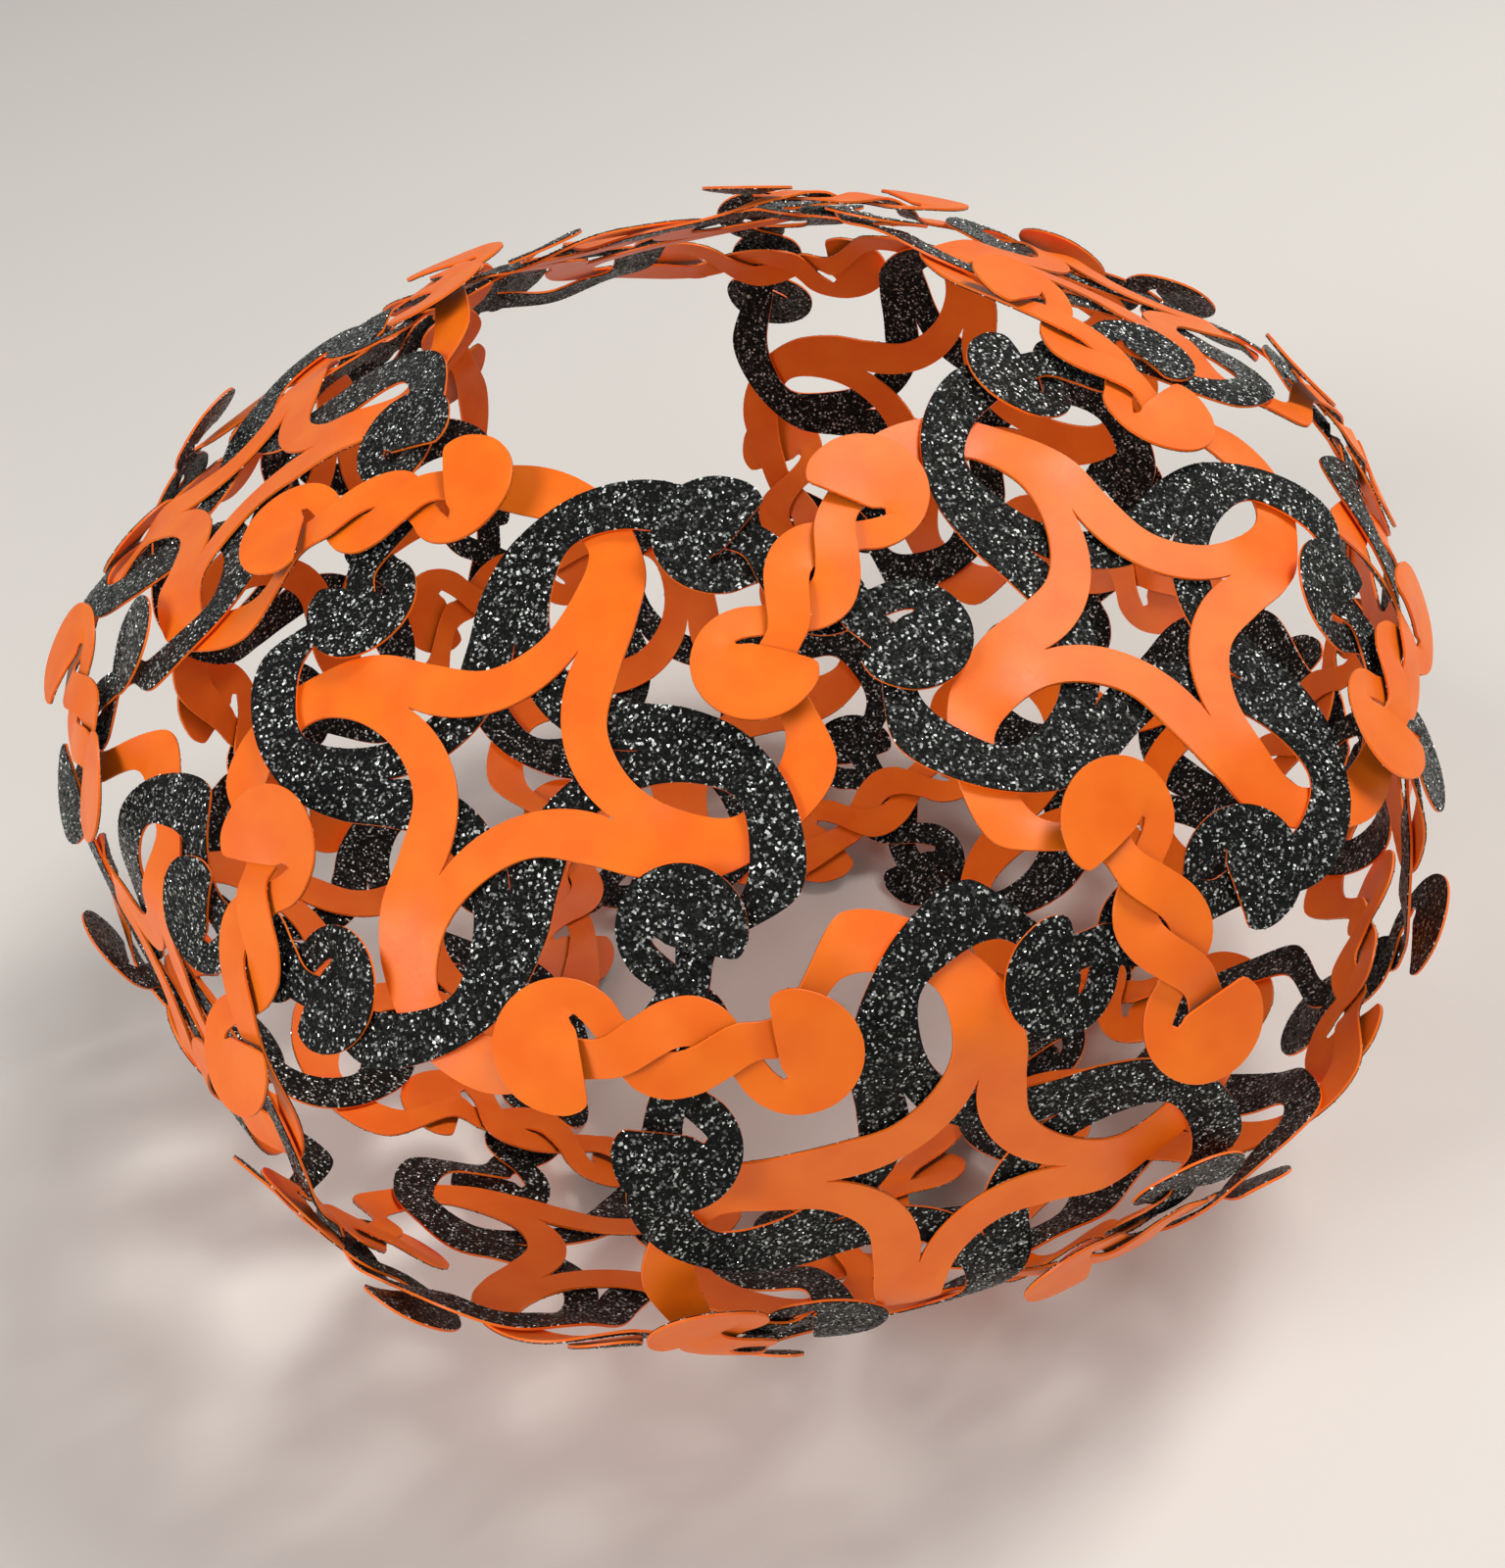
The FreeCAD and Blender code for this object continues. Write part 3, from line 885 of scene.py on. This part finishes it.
def make_piece(context, ring, number, colour):
    """One card piece with both its plies, in the place of its CAD node."""
    made = workshop(context)
    size, finish = made.size, made.finish
    node = "%s_%d_%s" % (ring, number, colour)
    sheet = made.sheet(0 if ring == "middle" else 1, colour).copy()
    sheet.transform(spot(ring, number))
    sheet.materials.append(made.orange)
    raw = bpy.data.objects.new(node + "_sheet", sheet)
    context.scene.collection.objects.link(raw)
    core = size.card_thickness - size.glitter_ply
    black_out = colour == "black"
    node_modifier(raw, made.plies, {
        "Inner ply": core if black_out else size.glitter_ply,
        "Outer ply": size.glitter_ply if black_out else core,
        "Inner material": made.orange if black_out else made.black,
        "Outer material": made.black if black_out else made.orange})
    rounding = raw.modifiers.new("edge_rounding", "BEVEL")
    rounding.width = size.edge_round
    rounding.segments = 1
    rounding.limit_method = "ANGLE"
    rounding.angle_limit = ROUNDED_ANGLE
    rounding.use_clamp_overlap = False
    node_modifier(raw, made.grains, {
        "Glitter ply": made.black, "Grain material": made.foil,
        "Density": finish.grain_density if black_out else finish.back_density,
        "Grain size": finish.grain_size,
        "Seed": finish.seed + SEEDS_A_RING * number + RINGS.index(ring)})
    graph = context.evaluated_depsgraph_get()
    mesh = bpy.data.meshes.new_from_object(raw.evaluated_get(graph))
    bpy.data.objects.remove(raw)
    bpy.data.meshes.remove(sheet)
    mesh.name = node + "_card"
    mesh.shade_smooth()
    mesh.set_sharp_from_angle(angle=SHARP_ANGLE)
    piece = bpy.data.objects.new(node + "_card", mesh)
    context.scene.collection.objects.link(piece)
    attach(piece, "root")
    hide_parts(node)


def make_colour(context, colour):
    """All fifteen pieces of one colour."""
    for ring in RINGS:
        for number in RING_NUMBERS:
            make_piece(context, ring, number, colour)


class KUSUDAMA_OT_orange_pieces(bpy.types.Operator):
    """Make the fifteen orange card pieces"""
    bl_idname = "kusudama.orange_pieces"
    bl_label = "Orange pieces"

    def execute(self, context):
        make_colour(context, "orange")
        return {"FINISHED"}


class KUSUDAMA_OT_black_pieces(bpy.types.Operator):
    """Make the fifteen black glitter card pieces"""
    bl_idname = "kusudama.black_pieces"
    bl_label = "Black glitter pieces"

    def execute(self, context):
        make_colour(context, "black")
        return {"FINISHED"}


def floor_material(colour):
    """Pale matt floor."""
    material, tree, shader = new_material("pale_floor")
    noise = add_node(tree, "ShaderNodeTexNoise", {"Scale": 3.0, "Detail": 3.0})
    where = add_node(tree, "ShaderNodeTexCoord")
    tree.links.new(where.outputs["Object"], noise.inputs["Vector"])
    deeper = [FLOOR_DEEPER * c for c in colour]
    tree.links.new(mixed_colour(tree, noise.outputs["Fac"], deeper, colour),
                   shader.inputs["Base Color"])
    shader.inputs["Roughness"].default_value = 0.7
    return material


def make_floor(scene, stage):
    """Square floor just under the ball."""
    low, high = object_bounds()
    half = stage.floor_size / 2
    mesh = bpy.data.meshes.new("studio_floor")
    z = low.z - FLOOR_GAP
    corners = [(-half, -half, z), (half, -half, z), (half, half, z), (-half, half, z)]
    mesh.from_pydata(corners, [], [(0, 1, 2, 3)])
    mesh.materials.append(floor_material(stage.floor_colour))
    floor = bpy.data.objects.new("studio_floor", mesh)
    scene.collection.objects.link(floor)
    floor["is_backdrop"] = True


def make_lamps(scene):
    """Soft studio lamps and a world that looks paler than it lights."""
    for name, place, width, watts, colour in LAMPS:
        data = bpy.data.lights.new(name, "AREA")
        data.size = width
        data.energy = watts
        data.color = colour
        lamp = bpy.data.objects.new(name, data)
        lamp.location = place
        lamp.rotation_euler = Vector(place).to_track_quat("Z", "Y").to_euler()
        scene.collection.objects.link(lamp)
    world = bpy.data.worlds.new("studio_world")
    world.use_nodes = True
    tree = world.node_tree
    ground = tree.nodes["Background"]
    ground.inputs["Color"].default_value = WORLD_COLOUR
    path = add_node(tree, "ShaderNodeLightPath")
    seen = path.outputs["Is Camera Ray"]
    for ray in ("Is Glossy Ray", "Is Transmission Ray"):
        either = add_node(tree, "ShaderNodeMath", operation="MAXIMUM")
        tree.links.new(seen, either.inputs[0])
        tree.links.new(path.outputs[ray], either.inputs[1])
        seen = either.outputs[0]
    strength = mapped(tree, seen, FULL_RANGE, (WORLD_LIGHT, WORLD_SEEN))
    tree.links.new(strength, ground.inputs["Strength"])
    scene.world = world


def make_camera(scene, stage):
    """Camera at the photograph's place, line of sight and lean."""
    data = bpy.data.cameras.new("photo_camera")
    data.sensor_fit = "VERTICAL"
    data.lens = stage.focal_pixels / PHOTO_HEIGHT * data.sensor_height
    data.clip_start = CLIP_START
    camera = bpy.data.objects.new("photo_camera", data)
    x, y = polar(cos(stage.look_elevation), degrees(stage.look_azimuth))
    sight = Vector((x, y, sin(stage.look_elevation)))
    level = sight.to_track_quat("-Z", "Y")
    lean = Euler((0, 0, stage.camera_roll)).to_quaternion()
    camera.rotation_euler = (level @ lean).to_euler()
    camera.location = stage.camera_place
    scene.collection.objects.link(camera)
    scene.camera = camera


class KUSUDAMA_OT_stage(bpy.types.Operator):
    """Set up the floor, the lamps and the camera"""
    bl_idname = "kusudama.stage"
    bl_label = "Stage"

    def execute(self, context):
        scene = context.scene
        scene.view_settings.view_transform = "Standard"
        make_floor(scene, scene.kusudama_stage)
        make_lamps(scene)
        make_camera(scene, scene.kusudama_stage)
        return {"FINISHED"}


class KUSUDAMA_PT_panel(bpy.types.Panel):
    """Sizes, finish and the steps that make the ball"""
    bl_label = "Kusudama paper ball"
    bl_space_type = "VIEW_3D"
    bl_region_type = "UI"
    bl_category = "Kusudama"

    def draw(self, context):
        scene = context.scene
        for group in (scene.kusudama_sizes, scene.kusudama_finish, scene.kusudama_stage):
            box = self.layout.box()
            for name in group.bl_rna.properties.keys():
                if name not in ("rna_type", "name"):
                    box.prop(group, name)
        for operator in (KUSUDAMA_OT_orange_pieces, KUSUDAMA_OT_black_pieces,
                         KUSUDAMA_OT_stage):
            self.layout.operator(operator.bl_idname)


CLASSES = (CardSizes, CardFinish, StageSizes, KUSUDAMA_OT_orange_pieces,
           KUSUDAMA_OT_black_pieces, KUSUDAMA_OT_stage, KUSUDAMA_PT_panel)


def register():
    """Register the classes and give the scene its sizes."""
    for item in CLASSES:
        bpy.utils.register_class(item)
    bpy.types.Scene.kusudama_sizes = PointerProperty(type=CardSizes)
    bpy.types.Scene.kusudama_finish = PointerProperty(type=CardFinish)
    bpy.types.Scene.kusudama_stage = PointerProperty(type=StageSizes)


def unregister():
    """Take away what register added."""
    del bpy.types.Scene.kusudama_stage
    del bpy.types.Scene.kusudama_finish
    del bpy.types.Scene.kusudama_sizes
    for item in reversed(CLASSES):
        bpy.utils.unregister_class(item)


def main():
    """Build the ball and its stage."""
    register()
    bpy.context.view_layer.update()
    bpy.ops.kusudama.orange_pieces()
    bpy.ops.kusudama.black_pieces()
    bpy.ops.kusudama.stage()
    bpy.context.view_layer.update()


if __name__ == "__main__":
    main()
